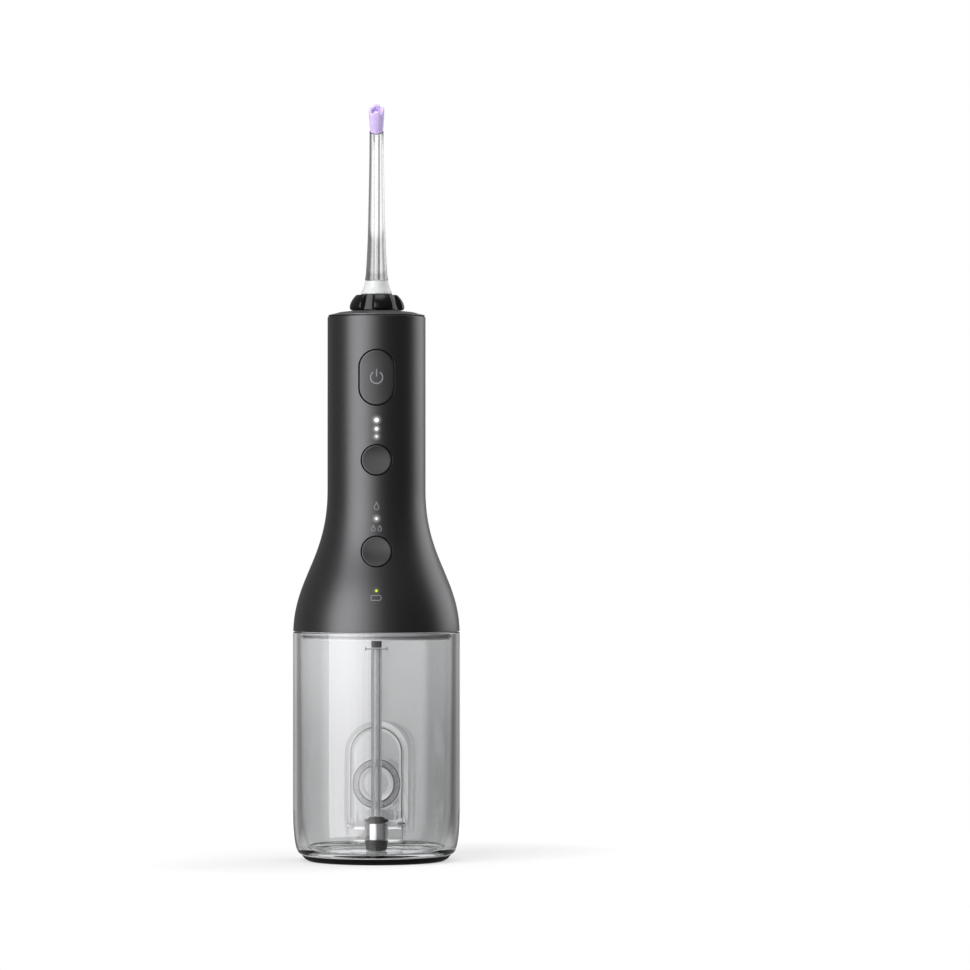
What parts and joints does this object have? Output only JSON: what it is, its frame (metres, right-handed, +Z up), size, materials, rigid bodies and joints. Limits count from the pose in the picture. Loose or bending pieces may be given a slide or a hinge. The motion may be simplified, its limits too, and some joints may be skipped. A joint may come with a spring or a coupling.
{
  "type": "water flosser",
  "caption": "Cordless water flosser with a clear reservoir, a flared round handle with push buttons, a petal knob and a bent nozzle with a soft tip.",
  "frame": {"origin": "centre of the foot ring's lower face, on the surface that the flosser stands on", "axes": "+Z up along the handle and nozzle, -Y towards the front with the buttons, +X to the right seen from the front"},
  "size_m": [0.0666, 0.0666, 0.3016],
  "materials": {
    "satin_black": "satin black moulded plastic",
    "gloss_black": "polished black plastic",
    "button_black": "satin black plastic with a printed mark",
    "rubber_black": "matt black rubber",
    "clear_plastic": "clear moulded plastic, slightly smoky",
    "white_plastic": "white moulded plastic",
    "grey_plastic": "grey moulded plastic",
    "lilac_silicone": "soft lilac silicone",
    "clear_silicone": "translucent silicone",
    "steel": "turned stainless steel",
    "light_guide": "clear light guide, lit",
    "board": "green solder mask",
    "cell_sleeve": "blue shrink sleeve",
    "nylon": "natural nylon"
  },
  "bodies": {
    "reservoir": {"reservoir_shell": "clear_plastic", "foot_ring": "rubber_black", "hinge_pin_left": "steel", "hinge_pin_right": "steel"},
    "door": {"fill_door": "clear_plastic", "fill_plug_seal": "clear_silicone"},
    "handle": {"handle_casing": "satin_black", "top_cap": "satin_black", "spigot_plate": "grey_plastic", "reservoir_gasket": "clear_silicone", "suction_nipple": "gloss_black", "suction_tube": "clear_silicone", "weight_flange": "gloss_black", "weight_sleeve": "clear_plastic", "steel_weight": "steel", "filter_cup": "gloss_black", "power_switch": "grey_plastic", "power_gasket": "rubber_black", "intensity_switch": "grey_plastic", "intensity_gasket": "rubber_black", "mode_switch": "grey_plastic", "mode_gasket": "rubber_black", "light_guide_high": "light_guide", "light_guide_medium": "light_guide", "light_guide_low": "light_guide", "light_guide_mode": "light_guide", "light_guide_battery": "light_guide", "circuit_board": "board", "board_screw_1": "steel", "board_screw_2": "steel", "chassis": "grey_plastic", "battery_cell": "cell_sleeve", "motor_can": "steel", "motor_end_cap": "nylon", "motor_screw_1": "steel", "motor_screw_2": "steel", "gear_shaft": "steel", "pump_cylinder": "white_plastic", "inlet_valve": "clear_silicone", "outlet_valve": "clear_silicone", "inlet_pipe": "clear_silicone", "outlet_pipe": "clear_silicone", "nozzle_socket": "white_plastic", "charge_socket": "steel"},
    "power_key": {"power_button": "button_black"},
    "intensity_key": {"intensity_button": "button_black"},
    "mode_key": {"mode_button": "button_black"},
    "knob": {"nozzle_knob": "gloss_black", "knob_retainer": "steel"},
    "nozzle": {"nozzle_skirt": "white_plastic", "nozzle_tube": "clear_plastic", "nozzle_tip": "lilac_silicone", "nozzle_ring": "rubber_black"},
    "pinion": {"motor_pinion": "steel"},
    "gear": {"drive_gear": "nylon"},
    "piston_rod": {"connecting_rod": "nylon", "piston": "nylon", "piston_seal": "rubber_black"},
    "port_flap": {"port_cover": "rubber_black"}
  },
  "joints": [
    {"name": "reservoir_release", "type": "slide", "parent": "reservoir", "child": "handle", "axis": [0, 0, 1], "range_m": [0, 0.095]},
    {"name": "fill_door_hinge", "type": "hinge", "parent": "reservoir", "child": "door", "pos_m": [0, 0.0303, 0.0108], "axis": [-1, 0, 0], "range_deg": [0, 90]},
    {"name": "power_press", "type": "slide", "parent": "handle", "child": "power_key", "axis": [0, 1, 0], "range_m": [0, 0.0006], "stiffness_N_per_m": 400, "springref_m": -0.0005},
    {"name": "intensity_press", "type": "slide", "parent": "handle", "child": "intensity_key", "axis": [0, 1, 0], "range_m": [0, 0.0006], "stiffness_N_per_m": 400, "springref_m": -0.0005},
    {"name": "mode_press", "type": "slide", "parent": "handle", "child": "mode_key", "axis": [0, 1, 0], "range_m": [0, 0.0006], "stiffness_N_per_m": 400, "springref_m": -0.0005},
    {"name": "knob_turn", "type": "hinge", "parent": "handle", "child": "knob", "pos_m": [0, 0, 0.22], "axis": [0, 0, 1], "continuous": true},
    {"name": "nozzle_pull", "type": "slide", "parent": "knob", "child": "nozzle", "axis": [0, 0, 1], "range_m": [0, 0.03]},
    {"name": "drive_gear_spin", "type": "hinge", "parent": "handle", "child": "gear", "pos_m": [-0.009, 0.0005, 0.1], "axis": [0, 0, 1], "continuous": true},
    {"name": "pinion_spin", "type": "hinge", "parent": "handle", "child": "pinion", "pos_m": [0.0015, 0.0005, 0.1], "axis": [0, 0, 1], "continuous": true},
    {"name": "piston_stroke", "type": "slide", "parent": "handle", "child": "piston_rod", "axis": [1, 0, 0], "range_m": [-0.0015, 0.0015]},
    {"name": "port_cover_hinge", "type": "hinge", "parent": "handle", "child": "port_flap", "pos_m": [0, 0.0232, 0.1256], "axis": [-1, 0, 0], "range_deg": [0, 90]}
  ],
  "couplings": [
    {"joint": "pinion_spin", "follows": "drive_gear_spin", "ratio": -3}
  ]
}
